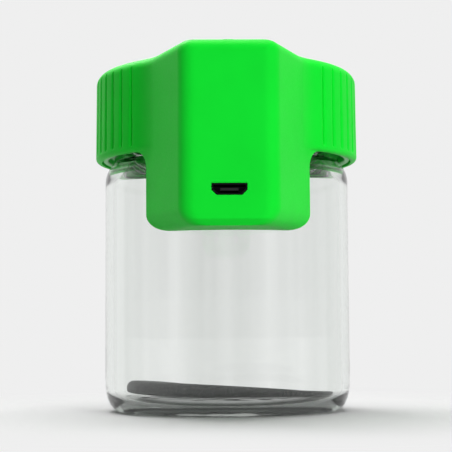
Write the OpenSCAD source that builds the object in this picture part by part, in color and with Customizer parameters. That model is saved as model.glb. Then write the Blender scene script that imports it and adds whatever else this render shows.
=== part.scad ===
// Bug catcher jar: a straight-sided glass jar with a rechargeable, lit magnifier lid.
// +Z is up, the origin is the middle of the face that the jar stands on, and -Y is the front,
// where the lid's power pod hangs down with its charging socket. Millimetres.

/* [Jar] */
// Outside diameter of the glass
jar_d = 65; // [62:0.5:72]
// Height of the glass from the table to the lip
jar_h = 80; // [78:1:100]
// Thickness of the glass wall
jar_wall = 2.2; // [1.8:0.1:2.6]
// Thickness of the glass floor
floor_t = 1.9; // [1.6:0.1:2.4]
// How far the neck is drawn in from the wall, on the radius
neck_in = 2.4; // [2:0.1:3]
// Height of the neck, from the shoulder to the lip
neck_h = 14.2; // [13:0.2:16]
// Width of the rounded heel round the foot of the jar
heel_in = 1.8; // [1.2:0.1:2.4]
// Height of the rounded heel
heel_h = 3.8; // [3:0.1:5]

/* [Mat] */
// Diameter of the soft disc on the floor of the jar
mat_d = 55; // [50:0.5:56]
// Thickness of the soft disc
mat_t = 2.5; // [2:0.1:4]
// Slope of the disc, as its left side leans on the glass
mat_slope = 3.2; // [0:0.1:3.6]
// Slope of the disc towards the back
mat_pitch = 2.4; // [0:0.1:2.6]

/* [Lid] */
// Height of the lid's top above the glass lip
lid_rise = 9.6; // [9.2:0.1:12]
// Height of the lid's rim, from its underside to its top
lid_h = 23.6; // [23:0.1:25]
// Thickness of the moulded ring of the lid
shell_wall = 1.6; // [1.4:0.1:2]
// Thickness of the screw cap's skirt
cap_wall = 1.5; // [1.3:0.1:1.8]
// Radius of the rounded top edge
top_round = 3; // [2:0.1:3.2]
// Radius of the rounded lower edge of the rim
rim_round = 1.2; // [0.8:0.1:1.4]
// Number of grip grooves on each side
grip_count = 15; // [7:2:15]
// Depth of a grip groove
grip_depth = 0.6; // [0.4:0.05:0.8]

/* [Pod] */
// How far the pod's front face stands out from the ring
pod_reach = 15; // [14:0.5:20]
// Width of the pod's front face
pod_front_w = 19.6; // [18:0.2:24]
// Angle at which the pod's sides spread towards the jar
pod_splay = 25.5; // [22:0.5:28]
// How far the pod hangs below the rim
pod_drop = 20.5; // [20:0.5:26]
// Thickness of the pod's walls
pod_wall = 2; // [1.6:0.1:2.2]
// Radius of the hollow blend from the ring to the pod
blend_r = 15; // [10:1:18]
// Travel of the power button
button_travel = 0.5; // [0.3:0.1:0.6]

/* [Magnifier] */
// Diameter of the lens
lens_d = 44; // [38:1:44]
// Thickness of the lens at its edge
lens_edge_t = 2; // [1.6:0.1:2.4]
// Height of the lens's dome over its edge
lens_dome = 3; // [1.5:0.1:4]
// Diameter of the power button
button_d = 8.8; // [7:0.2:9.4]

/* [Hidden] */

// Fits that several pieces share
seat_gap = 0.1;      // between pieces that seat and still turn or lift
rest_gap = 0.2;      // under a soft piece that lies loose
bite_gap = 0.05;     // round a screw in its boss
slip_gap = 0.2;      // between moulded pieces that slide into one another
cut = 1;             // overrun of every cut
smooth = 96;         // sides of a large round
fine = 32;           // sides of a small round

// Glass jar
jar_r = jar_d / 2;
bore_r = jar_r - jar_wall;
neck_r = jar_r - neck_in;
neck_wall = jar_wall;
mouth_r = neck_r - neck_wall;
neck_z = jar_h - neck_h;
lip_round = 0.8;
corner_round = 2.4;
shoulder_turn = 48;  // how far the shoulder's curve turns in before the neck
thread_h = 1.2;      // height of the glass thread, which the cap clears
thread_gap = 0.4;

// Screw cap and seal
cap_in_r = neck_r + thread_h + thread_gap;
cap_r = cap_in_r + cap_wall;
seal_t = 1.4;
web_t = 1.5;
window_t = 1.5;
seal_z = jar_h + seat_gap;
web_z = seal_z + seal_t + seat_gap;
window_z = web_z + web_t;
seal_in = 0.3;       // from the mouth's edge to the seal's
window_lap = 1.4;    // how far the window rests on the web
cap_rise = 0.4;      // from the rim's underside up to the skirt's

// Round the lens: its well, then the light board
lens_r = lens_d / 2;
well_wall = 2;
well_r = lens_r + well_wall;
board_in_r = well_r + slip_gap;
board_w = 5.4;
board_r = board_in_r + board_w;

// Lid shell
shell_in_r = max(cap_r, board_r) + slip_gap;
lid_r = shell_in_r + shell_wall;
top_z = jar_h + lid_rise;
rim_z = top_z - lid_h;
roof_t = 2;
roof_z = top_z - roof_t;
lid_draft = 0.4;     // draft of the moulded ring, in degrees
grip_angle = 6.55;   // angle between grooves, in degrees
grip_r = 0.8;        // radius of a groove's cutter
grip_low = 3.5;      // from the rim's underside up to the grooves
grip_top = 0.2;      // from the grooves up to the rounded top edge
post_r = 1.7;
post_count = 6;

// Magnifier
lens_seat = 1.7;     // width of the ledge under the lens
lens_open_r = lens_r - lens_seat;
ring_flange = 2.4;   // how far the bezel laps the roof
ring_t = 0.8;
lens_z = top_z - lens_edge_t - ring_t + seat_gap;
well_floor_t = 1.2;
lens_top_r = (lens_open_r * lens_open_r + lens_dome * lens_dome) / (2 * lens_dome);

// Light board
board_t = 1.2;
stand_h = 1;         // from the board up to the roof
board_z = roof_z - stand_h - board_t;
led_count = 4;
led_l = 3.5;
led_w = 2.8;
led_t = 0.6;
led_place = (board_in_r + board_r) / 2;
tongue_w = 10;
bar_w = 24;
bar_l = 1.5;

// Pod outline: its front face, its side faces' distance from the jar's axis, and its corners
pod_clear = 1.7;     // from the glass to the pod's back
back_r = jar_r + pod_clear;
front_d = lid_r + pod_reach;
side_d = pod_front_w / 2 * cos(pod_splay) + front_d * sin(pod_splay);
pod_z = rim_z - pod_drop;
pod_corner = 3.6;
front_round = 1.8;
side_round = 3;
web_round = 4.5;     // hollow fillet under the rim, where the pod leaves it
corner_steps = 4;
blend_steps = 5;
ring_steps = 26;
edge_steps = 4;
low_steps = 5;

// Pod insides
cover_t = 1.5;
cover_lap = 0.9;     // width of the shell's edge that frames the cover
cover_r = back_r + cover_t;
cover_low = 3.5;     // from the pod's underside up to the cover
pod_floor_z = pod_z + pod_wall;
cover_z = pod_z + cover_low;
cover_top = rim_z - seat_gap;
rib_t = 1.2;
rib_x = 6;
window_w = 16;       // opening from the ring into the pod
window_h = 3.2;

// Charging socket: mouth in the front wall, wide edge up
usb_w = 8.4;
usb_h = 2.85;
usb_bevel = 1.2;
usb_wall = 0.3;
usb_l = 5.6;
usb_recess = 0.4;
usb_up = 8.4;        // from the pod's underside up to the socket's middle
usb_z = pod_z + usb_up;
tongue_t = 0.6;

// Charge board and battery
charge_z = usb_z + usb_h / 2 - seat_gap;
charge_t = 1;
charge_back = cover_r + slip_gap * 4;
charge_front = front_d - pod_wall - slip_gap * 2;
boss_r = 2;
boss_x = 7.5;
boss_in = 2.6;       // from the board's back edge to its screws
screw_r = 0.9;
head_r = 1.7;
head_h = 1.2;
battery_w = 19;
battery_t = 6;
pad_t = 0.8;
pad_w = 16;
battery_z = charge_z + charge_t + head_h + slip_gap * 3;
battery_back = cover_r + slip_gap / 2 + pad_t;
battery_front = battery_back + battery_t;
lead_r = 0.5;
lead_x = 11.2;
lead_y = battery_back + lead_r;

// Power button and its switch
button_r = button_d / 2;
button_up = 0.6;
button_lip = 0.8;
button_y = front_d - pod_wall - button_r - button_lip - slip_gap;
button_lip_t = 0.7;
button_lip_z = roof_z - seat_gap - button_lip_t;
stem_r = 1.5;
stem_l = 2.275;      // from the button's lip down to the switch's plunger
switch_w = 6;
switch_h = 3.6;
plunger_r = 1.2;
plunger_h = 0.9;
switch_board_w = 12;
plunger_z = button_lip_z - stem_l - plunger_h;
switch_z = plunger_z - switch_h;
switch_board_z = switch_z - board_t;
battery_h = switch_board_z - slip_gap * 4 - battery_z;

// Cover screws, set along the jar's radius
cover_screw_angle = 15;
cover_screw_up = 2.6;   // from the cover's lower edge up to the screws
cover_boss_l = 5;

// Points of a rounded corner: an arc of radius r round c, from angle a to angle b
function arc(c, r, a, b, n) = [for (i = [0:n]) c + r * [cos(a + (b - a) * i / n), sin(a + (b - a) * i / n)]];
function polar(r, a) = [r * cos(a), r * sin(a)];
function join(a, b, share) = [for (i = [0:len(a) - 1]) a[i] + (b[i] - a[i]) * share[i]];

// Half outlines, from the front corner round to the back, with the front along +Y: a whole
// outline mirrors one and turns its front to -Y.
function corner_middle(side, front, r) =
    [(side - r - sin(pod_splay) * (front - r)) / cos(pod_splay), front - r];
function ring_half(ring, side, front, corner, blend) =
    let (a = pod_splay + acos((side + blend) / (ring + blend)))
    concat(
        arc(corner_middle(side, front, corner), corner, 90, pod_splay, corner_steps),
        arc(polar(ring + blend, a), blend, pod_splay + 180, a + 180, blend_steps),
        [for (i = [1:ring_steps]) polar(ring, a - i * (a + 90) / (ring_steps + 0.5))]
    );
function on_side(side, along) =
    side * [cos(pod_splay), sin(pod_splay)] + along * [-sin(pod_splay), cos(pod_splay)];
function pod_half(side, front, corner, back) =
    let (
        ring = ring_half(lid_r, side_d, front_d, pod_corner, blend_r),
        reach = sqrt(back * back - side * side),
        leave = max(ring[corner_steps + 1] * [-sin(pod_splay), cos(pod_splay)], reach + side_round),
        edge = on_side(side, reach),
        a = atan2(edge[1], edge[0])
    )
    concat(
        arc(corner_middle(side, front, corner), corner, 90, pod_splay, corner_steps),
        [for (i = [0:blend_steps]) on_side(side, leave + (reach - leave) * i / blend_steps)],
        [for (i = [1:ring_steps]) polar(back, a + i * (90 - a) / (ring_steps + 0.5))]
    );
function whole(half) = concat(
    [for (p = half) [p[0], -p[1]]],
    [for (i = [len(half) - 1:-1:0]) [-half[i][0], -half[i][1]]]
);

// Shares that each point of a half outline has in a change that grows from pod to ring
ring_shares = concat(
    [for (i = [0:corner_steps]) 0],
    [for (i = [0:blend_steps]) i / blend_steps],
    [for (i = [1:ring_steps]) 1]
);
web_shares = concat(
    [for (i = [0:corner_steps]) 0],
    [for (i = [0:blend_steps]) 1],
    [for (i = [1:ring_steps]) 0]
);

function ring_at(z) = lid_r - (z - rim_z) * tan(lid_draft);
function ring_inset(z, t) =
    ring_half(ring_at(z) - t, side_d - t, front_d - t, pod_corner - t, blend_r + t);
function rim_level(z, t) = join(ring_inset(z, 0),
    ring_half(ring_at(z) - t, side_d, front_d, pod_corner, blend_r), ring_shares);
rim_foot = rim_level(rim_z, rim_round);
function web_level(share) = join(pod_half(side_d, front_d, pod_corner, back_r), rim_foot,
    web_shares * share);
function rounded(h, r) = h < r ? r - sqrt(r * r - (r - h) * (r - h)) : 0;
function low_level(h) = pod_half(side_d - rounded(h, side_round), front_d - rounded(h, front_round),
    pod_corner - rounded(h, front_round), back_r + rounded(h, side_round));

// A solid through a stack of outlines, each [height, half outline]. Where one level stands on the
// next at the same height, the points that they share need no face between them. Below it is closed
// by a fan from each front corner and a strip between them, and above by strips from side to side.
module loft(levels) {
    m = len(levels[0][1]);
    n = 2 * m;
    top = len(levels) - 1;
    points = [for (l = levels) for (p = whole(l[1])) [p[0], p[1], l[0]]];
    sides = [for (l = [0:top - 1]) for (i = [0:n - 1])
        let (a = l * n + i, b = l * n + (i + 1) % n)
        each [
            if (points[a] != points[a + n]) [a, a + n, b + n],
            if (points[b] != points[b + n]) [a, b + n, b],
        ]];
    fans = [for (i = [1:m - 2]) each [[0, i, i + 1], [n - 2 - i, n - 1 - i, n - 1]]];
    strips = [for (i = [0:m - 2]) [for (k = [n - 1 - i, n - 2 - i, i + 1, i]) top * n + k]];
    polyhedron(points, concat(sides, fans, [[0, m - 1, m, n - 1]], strips));
}

module ring_of(z, h, outer, inner) {
    translate([0, 0, z]) difference() {
        cylinder(h = h, r = outer, $fn = smooth);
        translate([0, 0, -cut]) cylinder(h = h + 2 * cut, r = inner, $fn = smooth);
    }
}

module rod(x, y, z, h, r) {
    translate([x, y, z]) cylinder(h = h, r = r, $fn = fine);
}

// Jar

// Profile of the glass: heel, wall, shoulder and neck outside, lip, then bore and floor inside
module glass_profile() {
    heel_r = (heel_in * heel_in + heel_h * heel_h) / (2 * heel_in);
    shoulder_r = neck_in / (1 - cos(shoulder_turn));
    inner_r = (bore_r - mouth_r) / (1 - cos(shoulder_turn));
    shoulder_z = neck_z - shoulder_r * sin(shoulder_turn);
    polygon(concat(
        [[0, 0]],
        arc([jar_r - heel_r, heel_h], heel_r, -asin(heel_h / heel_r), 0, 6),
        arc([jar_r - shoulder_r, shoulder_z], shoulder_r, 0, shoulder_turn, 8),
        arc([neck_r - lip_round, jar_h - lip_round], lip_round, 0, 90, 4),
        arc([mouth_r + lip_round, jar_h - lip_round], lip_round, 90, 180, 4),
        arc([bore_r - inner_r, shoulder_z - jar_wall / 2], inner_r, shoulder_turn, 0, 8),
        arc([bore_r - corner_round, floor_t + corner_round], corner_round, 0, -90, 6),
        [[0, floor_t]]
    ));
}

module glass_jar() {
    color([0.86, 0.92, 0.88, 0.4]) rotate_extrude($fn = smooth) glass_profile();
}

module floor_mat() {
    edge_round = mat_t / 3;
    mat_r = mat_d / 2;
    tilt = acos(cos(mat_slope) * cos(mat_pitch));
    low = floor_t + rest_gap + mat_r * sin(tilt);
    color([0.32, 0.33, 0.33]) translate([mat_t / 4, 0, low])
        rotate([-mat_pitch, mat_slope, 0]) rotate_extrude($fn = smooth) polygon(concat(
            [[0, 0]],
            arc([mat_r - edge_round, edge_round], edge_round, -90, 0, 4),
            arc([mat_r - edge_round, mat_t - edge_round], edge_round, 0, 90, 4),
            [[0, mat_t]]
        ));
}

// Lid, from the glass up

module seal_ring() {
    color([0.93, 0.93, 0.9]) ring_of(seal_z, seal_t, cap_in_r - thread_gap, mouth_r + seal_in);
}

module screw_cap() {
    skirt_z = rim_z + cap_rise;
    color([0.13, 0.8, 0.23]) {
        ring_of(skirt_z, window_z - skirt_z, cap_r, cap_in_r);
        ring_of(web_z, web_t, cap_r, mouth_r + seal_in / 2);
    }
}

module view_window() {
    color([0.9, 0.95, 0.95, 0.5]) translate([0, 0, window_z])
        cylinder(h = window_t, r = mouth_r + window_lap, $fn = smooth);
}

module magnifier_lens() {
    color([0.9, 0.95, 1, 0.5]) {
        translate([0, 0, lens_z]) cylinder(h = lens_edge_t, r = lens_r - seat_gap, $fn = smooth);
        translate([0, 0, lens_z + lens_edge_t]) intersection() {
            translate([0, 0, lens_dome - lens_top_r]) sphere(r = lens_top_r, $fn = smooth);
            cylinder(h = lens_dome + cut, r = lens_top_r, $fn = smooth);
        }
    }
}

module lens_ring() {
    color([0.1, 0.72, 0.2]) {
        ring_of(top_z, ring_t, lens_r + ring_flange, lens_open_r + seat_gap);
        ring_of(lens_z + lens_edge_t, ring_t, lens_r - seat_gap, lens_open_r + seat_gap);
    }
}

// Socket's mouth, seen from the front: wide edge up, its lower corners bevelled
module socket_mouth(w, h, bevel) {
    polygon([
        [-w / 2, h / 2], [-w / 2, bevel - h / 2], [bevel - w / 2, -h / 2],
        [w / 2 - bevel, -h / 2], [w / 2, bevel - h / 2], [w / 2, h / 2],
    ]);
}

// Runs a shape drawn in X and Z back from y by l
module along_y(y, z, l) {
    translate([0, y + l, z]) rotate([90, 0, 0]) linear_extrude(height = l) children();
}

module pod_plan(inset) {
    polygon(whole(pod_half(side_d - inset, front_d - inset, pod_corner - inset, lid_r)));
}

// The moulding from outside: a pod that rounds in below, its hollow fillet under the rim, the ring
// with its rounded lower edge and its hollow blends into the pod, and the rounded top edge
module shell_outside() {
    loft(concat(
        [for (i = [0:low_steps]) let (h = side_round * (1 - cos(90 * i / low_steps)))
            [pod_z + h, low_level(h)]],
        [for (i = [0:edge_steps]) let (a = 90 * i / edge_steps)
            [rim_z - web_round * (1 - sin(a)), web_level(1 - cos(a))]],
        [for (i = [0:edge_steps - 1]) let (a = 90 * i / (edge_steps - 1))
            [rim_z + rim_round * (1 - cos(a)), rim_level(rim_z, rim_round * (1 - sin(a)))]],
        [for (i = [0:edge_steps]) let (a = 90 * i / edge_steps, z = top_z - top_round * (1 - sin(a)))
            [z, ring_inset(z, top_round * (1 - cos(a)))]]
    ));
}

module grip_grooves() {
    low = rim_z + grip_low;
    high = top_z - top_round - grip_top;
    for (side = [0, 180], k = [0:grip_count - 1])
        rotate([0, 0, side + (k - (grip_count - 1) / 2) * grip_angle])
            rod(lid_r + grip_r - grip_depth, 0, low, high - low, grip_r);
}

module pod_hollow() {
    intersection() {
        difference() {
            translate([0, 0, pod_floor_z]) linear_extrude(height = roof_z - pod_floor_z)
                polygon(whole(pod_half(side_d - pod_wall, front_d - pod_wall,
                    pod_corner - pod_wall, back_r)));
            translate([0, 0, rim_z]) cylinder(h = lid_h, r = lid_r, $fn = smooth);
            translate([0, 0, pod_z]) cylinder(h = cover_z - pod_z, r = cover_r, $fn = smooth);
        }
        translate([-front_d, -front_d, pod_z]) cube([2 * front_d, front_d, top_z - pod_z]);
    }
}

module cover_plan(inset, gap) {
    intersection() {
        difference() {
            circle(r = cover_r + gap, $fn = smooth);
            circle(r = back_r - gap, $fn = smooth);
        }
        polygon(whole(pod_half(side_d - inset, front_d - inset, pod_corner - inset, back_r - cut)));
    }
}

module cover_pose(a, r) {
    rotate([0, 0, a]) translate([0, -r, cover_z + cover_screw_up]) rotate([90, 0, 0]) children();
}

module lid_shell() {
    color([0.13, 0.91, 0.24]) {
        difference() {
            shell_outside();
            translate([0, 0, rim_z - cut]) cylinder(h = roof_z - rim_z + cut, r = shell_in_r, $fn = smooth);
            translate([0, 0, roof_z - cut]) cylinder(h = roof_t + 2 * cut, r = lens_r, $fn = smooth);
            grip_grooves();
            pod_hollow();
            translate([0, 0, cover_z])
                linear_extrude(height = rim_z - cover_z) cover_plan(cover_lap, seat_gap);
            translate([-window_w / 2, -lid_r - cut, roof_z - window_h])
                cube([window_w, cut + lid_r - shell_in_r + cut, window_h]);
            rod(0, -button_y, roof_z - cut, roof_t + 2 * cut, button_r + slip_gap);
            along_y(-front_d - cut, usb_z, pod_wall + 2 * cut) socket_mouth(usb_w, usb_h, usb_bevel);
        }
        lens_well();
        cap_posts();
        board_stands();
        pod_ribs();
        board_bosses();
        cover_bosses();
    }
}

// Well that the lens drops into, with the ledge that it rests on
module lens_well() {
    floor_z = lens_z - seat_gap - well_floor_t;
    difference() {
        translate([0, 0, floor_z]) cylinder(h = roof_z + roof_t / 2 - floor_z, r = well_r, $fn = smooth);
        translate([0, 0, floor_z - cut]) cylinder(h = lid_h, r = lens_open_r, $fn = smooth);
        translate([0, 0, lens_z - seat_gap]) cylinder(h = lid_h, r = lens_r, $fn = smooth);
    }
}

module at_posts() {
    for (k = [0:post_count - 1]) rotate([0, 0, k * 360 / post_count])
        translate([cap_r - post_r, 0, 0]) children();
}

module cap_posts() {
    at_posts() rod(0, 0, window_z, roof_z + roof_t / 2 - window_z, post_r);
}

module board_stands() {
    for (k = [0:led_count - 1]) rotate([0, 0, k * 360 / led_count])
        rod(led_place, 0, board_z + board_t, stand_h + roof_t / 2, post_r / 2);
}

module pod_ribs() {
    low = charge_z + charge_t;
    for (side = [-1, 1])
        translate([side * rib_x - rib_t / 2, -front_d + pod_wall / 2, low])
            cube([rib_t, front_d - pod_wall / 2 - battery_front, switch_board_z - low]);
}

module board_bosses() {
    for (side = [-1, 1]) difference() {
        rod(side * boss_x, -charge_back - boss_in, pod_floor_z, charge_z - pod_floor_z, boss_r);
        rod(side * boss_x, -charge_back - boss_in, pod_floor_z + cut, charge_z, screw_r + bite_gap);
    }
}

module cover_bosses() {
    for (side = [-1, 1]) cover_pose(side * cover_screw_angle, cover_r + slip_gap) difference() {
        cylinder(h = cover_boss_l, r = boss_r, $fn = fine);
        translate([0, 0, -cut]) cylinder(h = cover_boss_l, r = screw_r + bite_gap, $fn = fine);
    }
}

// Light and magnifier electronics

module light_board() {
    neck = lid_r + bar_l;
    color([0.95, 0.95, 0.93]) translate([0, 0, board_z]) difference() {
        union() {
            cylinder(h = board_t, r = board_r, $fn = smooth);
            translate([-tongue_w / 2, -neck, 0]) cube([tongue_w, neck, board_t]);
            translate([-bar_w / 2, -neck - bar_l / 2, 0]) cube([bar_w, bar_l, board_t]);
        }
        translate([0, 0, -cut]) cylinder(h = board_t + 2 * cut, r = board_in_r, $fn = smooth);
        at_posts() rod(0, 0, -cut, board_t + 2 * cut, post_r + seat_gap);
    }
}

module leds() {
    color([1, 0.95, 0.6]) for (k = [0:led_count - 1]) rotate([0, 0, (k + 0.5) * 360 / led_count])
        translate([led_place - led_w / 2, -led_l / 2, board_z - led_t]) cube([led_w, led_l, led_t]);
}

module power_button() {
    face_z = button_lip_z + button_lip_t;
    color([0.1, 0.72, 0.2]) {
        rod(0, -button_y, face_z, top_z + button_up - face_z, button_r);
        rod(0, -button_y, button_lip_z, button_lip_t, button_r + button_lip);
        rod(0, -button_y, button_lip_z - stem_l, stem_l, stem_r);
    }
}

module switch_plunger() {
    color([0.1, 0.1, 0.1]) rod(0, -button_y, plunger_z - button_travel, plunger_h + button_travel, plunger_r);
}

module switch_body() {
    color([0.25, 0.25, 0.27]) difference() {
        translate([-switch_w / 2, -button_y - switch_w / 2, switch_z]) cube([switch_w, switch_w, switch_h]);
        rod(0, -button_y, plunger_z - 3 * button_travel, switch_h, plunger_r + seat_gap);
    }
}

module switch_board() {
    color([0.05, 0.35, 0.15]) translate([-switch_board_w / 2, -front_d + pod_wall + slip_gap, switch_board_z])
        cube([switch_board_w, front_d - pod_wall - slip_gap - battery_back, board_t]);
}

module charge_board() {
    half_back = (side_d - pod_wall - slip_gap * 2 - sin(pod_splay) * charge_back) / cos(pod_splay);
    half_front = (side_d - 2 * pod_wall - sin(pod_splay) * charge_front) / cos(pod_splay);
    color([0.05, 0.35, 0.15]) difference() {
        translate([0, 0, charge_z]) linear_extrude(height = charge_t) polygon([
            [-half_back, -charge_back], [half_back, -charge_back],
            [half_front, -charge_front], [-half_front, -charge_front],
        ]);
        for (side = [-1, 1])
            rod(side * boss_x, -charge_back - boss_in, charge_z - cut, charge_t + 2 * cut,
                screw_r + seat_gap);
    }
}

module charge_chip() {
    color([0.08, 0.08, 0.08]) translate([-rib_x / 3, -charge_front + boss_in, charge_z + charge_t])
        cube([2 * rib_x / 3, rib_x / 3, head_h]);
}

module usb_shell() {
    w = usb_w - 2 * seat_gap;
    h = usb_h - 2 * seat_gap;
    color([0.7, 0.7, 0.72]) difference() {
        along_y(-front_d + usb_recess, usb_z, usb_l) socket_mouth(w, h, usb_bevel);
        along_y(-front_d + usb_recess - cut, usb_z, usb_l - usb_wall + cut)
            socket_mouth(w - 2 * usb_wall, h - 2 * usb_wall, usb_bevel);
    }
}

module usb_tongue() {
    w = usb_w / 2;
    l = usb_l - usb_wall;
    color([0.08, 0.08, 0.08])
        translate([-w / 2, -front_d + usb_recess + 2 * usb_wall, usb_z - tongue_t / 2])
            cube([w, l - 2 * usb_wall, tongue_t]);
}

module battery() {
    color([0.75, 0.76, 0.78])
        translate([-battery_w / 2, -battery_front, battery_z]) cube([battery_w, battery_t, battery_h]);
}

module battery_pad() {
    color([0.2, 0.2, 0.2])
        translate([-pad_w / 2, -battery_back, battery_z]) cube([pad_w, pad_t, battery_h]);
}

module battery_leads() {
    color([0.8, 0.1, 0.1]) for (side = [-1, 1])
        rod(side * rib_x / 2, -(battery_back + battery_front) / 2, charge_z + charge_t,
            battery_z - charge_z - charge_t, lead_r);
}

module light_leads() {
    color([0.8, 0.1, 0.1]) for (side = [-1, 1])
        rod(side * lead_x, -lead_y, charge_z + charge_t, board_z - charge_z - charge_t, lead_r);
}

// Curved plate that closes the pod's back, towards the glass
module pod_cover() {
    color([0.12, 0.84, 0.22]) difference() {
        translate([0, 0, cover_z + seat_gap]) linear_extrude(height = cover_top - cover_z - seat_gap)
            cover_plan(cover_lap + seat_gap, 0);
        for (side = [-1, 1]) cover_pose(side * cover_screw_angle, back_r) {
            translate([0, 0, -cut]) cylinder(h = cover_t / 2 + cut, r = head_r + seat_gap, $fn = fine);
            cylinder(h = 2 * cover_t, r = screw_r + seat_gap, $fn = fine);
        }
    }
}

module cover_screws() {
    color([0.6, 0.6, 0.62]) for (side = [-1, 1]) cover_pose(side * cover_screw_angle, back_r + seat_gap) {
        cylinder(h = cover_t / 2 - seat_gap, r = head_r, $fn = fine);
        cylinder(h = cover_t + cover_boss_l / 2, r = screw_r, $fn = fine);
    }
}

module board_screws() {
    z = charge_z + charge_t;
    color([0.6, 0.6, 0.62]) for (side = [-1, 1]) {
        rod(side * boss_x, -charge_back - boss_in, z, head_h, head_r);
        rod(side * boss_x, -charge_back - boss_in, pod_floor_z + 2 * cut, z - pod_floor_z - 2 * cut, screw_r);
    }
}

glass_jar();
floor_mat();
seal_ring();
screw_cap();
view_window();
magnifier_lens();
lens_ring();
lid_shell();
light_board();
leds();
power_button();
switch_plunger();
switch_body();
switch_board();
charge_board();
charge_chip();
usb_shell();
usb_tongue();
battery();
battery_pad();
battery_leads();
light_leads();
pod_cover();
cover_screws();
board_screws();
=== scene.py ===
"""Bug catcher jar: its glass, soft mat and lit magnifier lid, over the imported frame, and its studio."""

import math

import bmesh
import bpy
from bpy.props import FloatProperty, FloatVectorProperty, IntProperty, PointerProperty
from mathutils import Matrix, Vector


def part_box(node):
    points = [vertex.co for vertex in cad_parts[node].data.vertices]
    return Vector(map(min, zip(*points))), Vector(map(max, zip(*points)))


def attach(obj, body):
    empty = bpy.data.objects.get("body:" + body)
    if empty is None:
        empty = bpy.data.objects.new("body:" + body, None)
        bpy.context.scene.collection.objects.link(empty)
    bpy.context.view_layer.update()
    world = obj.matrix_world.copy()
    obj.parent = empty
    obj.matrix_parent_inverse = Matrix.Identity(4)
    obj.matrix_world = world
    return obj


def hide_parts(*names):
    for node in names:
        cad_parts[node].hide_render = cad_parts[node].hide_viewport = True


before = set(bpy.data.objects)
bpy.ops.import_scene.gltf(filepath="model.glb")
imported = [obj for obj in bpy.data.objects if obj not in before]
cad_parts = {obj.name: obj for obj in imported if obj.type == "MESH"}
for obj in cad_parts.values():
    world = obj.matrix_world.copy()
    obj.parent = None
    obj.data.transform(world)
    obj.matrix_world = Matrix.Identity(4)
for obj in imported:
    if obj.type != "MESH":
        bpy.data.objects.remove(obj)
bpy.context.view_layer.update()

bl_info = {
    "name": "Bug Catcher Jar",
    "version": (1, 0, 0),
    "blender": (4, 5, 0),
    "location": "View3D > Sidebar > Bug Jar",
    "description": "Builds the glass jar, its mat, its magnifier lid and the studio round them",
    "category": "Add Mesh",
}

MM = 0.001


def paint(code):
    """Linear RGBA of an sRGB hex colour."""
    parts = [int(code[i : i + 2], 16) / 255 for i in (1, 3, 5)]
    return tuple(c / 12.92 if c <= 0.04045 else ((c + 0.055) / 1.055) ** 2.4 for c in parts) + (1.0,)


# Settings


class GlassSettings(bpy.types.PropertyGroup):
    """Sizes and tint of the glass."""

    pitch: FloatProperty(
        name="Thread Pitch", description="Rise of the neck's thread in one turn", default=4.23 * MM,
        min=3 * MM, max=6 * MM, unit="LENGTH", precision=5,
    )
    turns: FloatProperty(
        name="Thread Turns", description="Turns of the neck's thread", default=1.3, min=1, max=1.6,
    )
    thread: FloatProperty(
        name="Thread Height", description="How far the thread stands off the neck", default=1.15 * MM,
        min=0.5 * MM, max=1.2 * MM, unit="LENGTH", precision=5,
    )
    punt: FloatProperty(
        name="Foot Hollow", description="How far the foot is hollowed above the table", default=0.7 * MM,
        min=0, max=1 * MM, unit="LENGTH", precision=5,
    )
    tint: FloatVectorProperty(
        name="Tint", description="Colour that thick glass takes", subtype="COLOR", size=4, min=0, max=1,
        default=paint("#8CCDA0"),
    )
    density: FloatProperty(
        name="Tint Density", description="Strength of the tint per metre", default=15, min=0, max=80,
    )


class MatSettings(bpy.types.PropertyGroup):
    """Colour and cells of the soft disc."""

    colour: FloatVectorProperty(
        name="Colour", description="Colour of the foam", subtype="COLOR", size=4, min=0, max=1,
        default=paint("#2E302F"),
    )
    cell: FloatProperty(
        name="Cell", description="Width of a foam cell, drawn coarse enough to show", default=0.35 * MM,
        min=0.1 * MM, max=1 * MM, unit="LENGTH", precision=5,
    )


class LidSettings(bpy.types.PropertyGroup):
    """Colours and grip grooves of the lid."""

    colour: FloatVectorProperty(
        name="Shell Colour", description="Colour of the lid's moulding", subtype="COLOR", size=4,
        min=0, max=1, default=paint("#0AE630"),
    )
    cap_colour: FloatVectorProperty(
        name="Cap Colour", description="Colour of the screw cap", subtype="COLOR", size=4, min=0, max=1,
        default=paint("#0CD030"),
    )
    trim_colour: FloatVectorProperty(
        name="Trim Colour", description="Colour of the bezel and the button", subtype="COLOR", size=4,
        min=0, max=1, default=paint("#0ABE28"),
    )
    grooves: IntProperty(name="Grooves", description="Grip grooves on each side", default=15, min=7, max=15)
    depth: FloatProperty(
        name="Groove Depth", description="Depth of a grip groove", default=0.9 * MM,
        min=0.3 * MM, max=1 * MM, unit="LENGTH", precision=5,
    )


class StudioSettings(bpy.types.PropertyGroup):
    """Backdrop, lights and camera."""

    backdrop: FloatVectorProperty(
        name="Backdrop", description="Colour of the seamless paper", subtype="COLOR", size=4, min=0, max=1,
        default=paint("#EFEFEF"),
    )
    fill: FloatProperty(
        name="Room Light", description="Strength of the even light of the room", default=0.24, min=0, max=1,
    )
    lens: FloatProperty(
        name="Lens", description="Focal length in millimetres", default=105.1, min=50, max=200,
    )


# Mesh tools

# Faces round a turned piece, and the distance in metres within which two points are one
ROUND_STEPS, SAME_POINT = 192, 1e-7


def arc(cx, cy, r, start, end, steps):
    """Points on an arc round (cx, cy), from one angle to another, in degrees."""
    turn = [math.radians(start + (end - start) * i / steps) for i in range(steps + 1)]
    return [(cx + r * math.cos(a), cy + r * math.sin(a)) for a in turn]


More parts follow.
